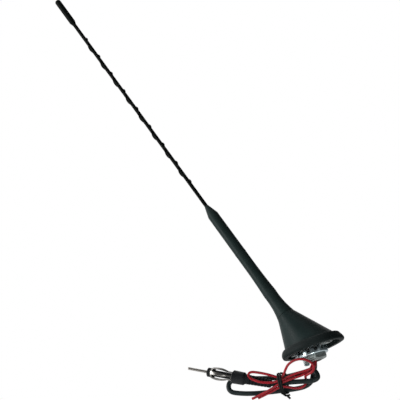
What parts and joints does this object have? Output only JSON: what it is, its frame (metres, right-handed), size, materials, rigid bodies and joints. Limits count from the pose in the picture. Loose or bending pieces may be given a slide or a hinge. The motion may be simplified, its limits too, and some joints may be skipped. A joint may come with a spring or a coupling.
{
  "type": "car roof antenna",
  "caption": "Raked screw-in mast with a spiral ridge on a gasketed foot, clamped by a toothed cup and a nut, with tied coax and supply leads.",
  "frame": {"origin": "axis of the hollow threaded stud, in the plane of the gasket's underside, which is the roof's outer face", "axes": "+Z out of the roof, +X towards the foot's nose, with the mast leaning back towards -X"},
  "size_m": [0.1838, 0.0658, 0.4459],
  "materials": {
    "black_plastic": "satin",
    "mast_jacket": "satin",
    "black_rubber": "matte",
    "spring_rod": "satin",
    "plated_metal": "satin",
    "brass_insert": "satin",
    "zinc_casting": "satin",
    "plated_cup": "gloss",
    "plug_nickel": "satin",
    "board_laminate": "satin",
    "coax_sheath": "satin",
    "red_sheath": "satin",
    "tie_plastic": "satin",
    "insulator_plastic": "matte"
  },
  "bodies": {
    "foot": {"foot_shell": "black_plastic", "mast_socket": "brass_insert", "mast_contact": "brass_insert", "foot_gasket": "black_rubber", "base_casting": "zinc_casting", "amplifier_board": "board_laminate", "screening_can": "plated_metal", "board_screws": "plated_metal", "base_screws": "plated_metal", "cable_bush": "black_rubber", "coax_cable": "coax_sheath", "long_red_lead": "red_sheath", "short_red_lead": "red_sheath", "hank_tie": "tie_plastic", "plug_boot": "black_rubber", "plug_sleeve": "black_plastic", "plug_shell": "plug_nickel", "plug_insulator": "insulator_plastic", "plug_pin": "plug_nickel"},
    "mast": {"whip_tip_cap": "black_plastic", "whip_core": "spring_rod", "whip_jacket": "mast_jacket", "mast_ferrule": "plated_metal", "mast_sleeve": "black_plastic"},
    "cup": {"clamp_cup": "plated_cup"},
    "nut": {"roof_nut": "plated_metal"}
  },
  "joints": [
    {"name": "mast_thread", "type": "hinge", "parent": "foot", "child": "mast", "pos_m": [-0.01448, 0, 0.03702], "axis": [-0.342, 0, 0.9397], "range_deg": [0, 360]},
    {"name": "cup_travel", "type": "slide", "parent": "foot", "child": "cup", "axis": [0, 0, -1], "range_m": [0, 0.003]},
    {"name": "nut_thread", "type": "hinge", "parent": "cup", "child": "nut", "pos_m": [0, 0, -0.0069], "axis": [0, 0, -1], "range_deg": [0, 600]}
  ],
  "couplings": [
    {"joint": "cup_travel", "follows": "nut_thread", "m_per_rad": 0.00023873}
  ]
}
